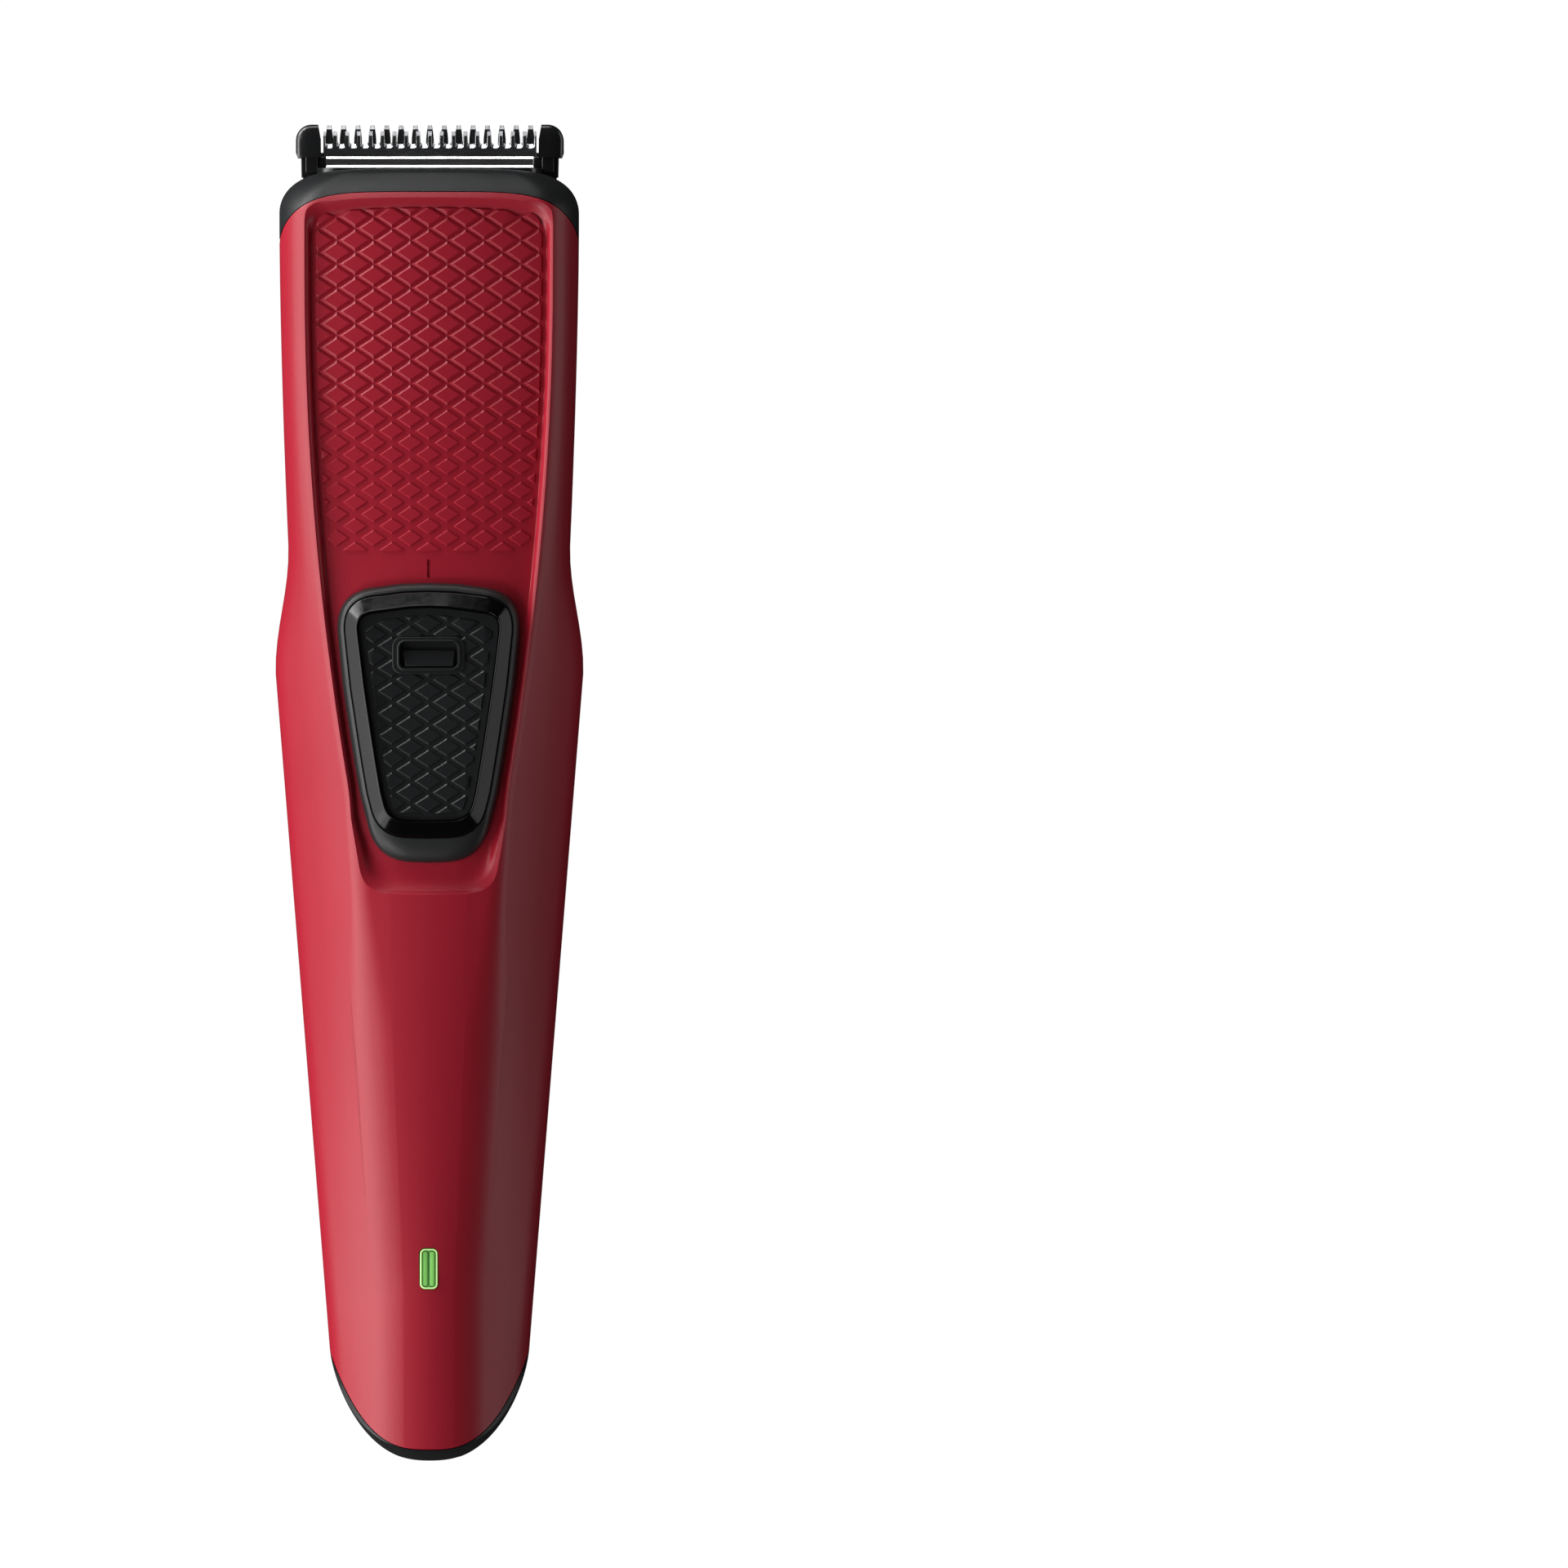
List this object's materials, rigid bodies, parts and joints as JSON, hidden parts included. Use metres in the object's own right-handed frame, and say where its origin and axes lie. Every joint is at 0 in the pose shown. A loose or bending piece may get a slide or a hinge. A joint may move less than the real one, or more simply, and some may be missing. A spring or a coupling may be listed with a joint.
{
  "type": "beard trimmer",
  "caption": "Cordless beard trimmer with a detachable blade head, a reciprocating cutter, a sliding on and off switch and a sunk diamond-pattern thumb panel.",
  "frame": {"origin": "centre of the bounding box at the resting face on the back (z = 0), where the trimmer lies on its back", "axes": "+X to the trimmer's right side seen from its front, +Y along its length towards the blade, +Z out of its front face, on the thumb slider's side"},
  "size_m": [0.0366, 0.1591, 0.0303],
  "materials": {
    "red_shell": "satin pearl red moulded plastic",
    "black_shell": "fine satin black moulded plastic",
    "green_lens": "translucent green, lit from below",
    "gloss_black": "polished black",
    "pad_black": "satin black",
    "dark_plastic": "moulded",
    "white_plastic": "moulded",
    "plated_steel": "tinned",
    "board_green": "solder mask",
    "sleeve_blue": "shrink sleeve",
    "copper": "enamelled copper winding",
    "cell_wrap": "shrink wrap",
    "magnet": "sintered",
    "brass": "stamped",
    "lead_red": "insulation",
    "socket_black": "moulded",
    "lead_black": "insulation",
    "head_black": "satin black with polished edges",
    "guard_steel": "ground steel",
    "cutter_steel": "ground steel",
    "polished_steel": "polished spring steel"
  },
  "bodies": {
    "housing": {"front_housing": "red_shell", "rear_housing": "black_shell", "led_lens": "green_lens", "switch_body": "plated_steel", "circuit_board": "board_green", "board_chip": "dark_plastic", "board_capacitor": "sleeve_blue", "board_coil": "copper", "indicator_led": "white_plastic", "battery_cell": "cell_wrap", "battery_tabs": "plated_steel", "inner_frame": "dark_plastic", "motor_holder": "dark_plastic", "motor_can": "plated_steel", "motor_magnets": "magnet", "motor_end_bell": "white_plastic", "motor_terminals": "brass", "drive_cover": "dark_plastic", "motor_screws": "plated_steel", "motor_leads": "lead_red", "charging_socket": "socket_black", "socket_contacts": "brass", "socket_leads": "lead_black", "housing_screws": "plated_steel"},
    "slider": {"slider_button": "gloss_black", "slider_pad": "pad_black", "slider_clip": "dark_plastic", "switch_knob": "white_plastic"},
    "rotor": {"motor_shaft": "plated_steel", "motor_armature": "copper", "eccentric_cam": "white_plastic"},
    "head": {"head_frame": "head_black", "guard": "guard_steel", "pressure_strip": "polished_steel"},
    "cutter": {"cutter": "cutter_steel", "cutter_carrier": "white_plastic"}
  },
  "joints": [
    {"name": "switch_slide", "type": "slide", "parent": "housing", "child": "slider", "axis": [0, 1, 0], "range_m": [0, 0.003]},
    {"name": "rotor_spin", "type": "hinge", "parent": "housing", "child": "rotor", "pos_m": [0, 0.05, 0.015], "axis": [0, 1, 0], "continuous": true},
    {"name": "head_lift", "type": "slide", "parent": "housing", "child": "head", "axis": [0, 1, 0], "range_m": [0, 0.014]},
    {"name": "cutter_stroke", "type": "slide", "parent": "head", "child": "cutter", "axis": [1, 0, 0], "range_m": [-0.0006, 0.0006]}
  ]
}
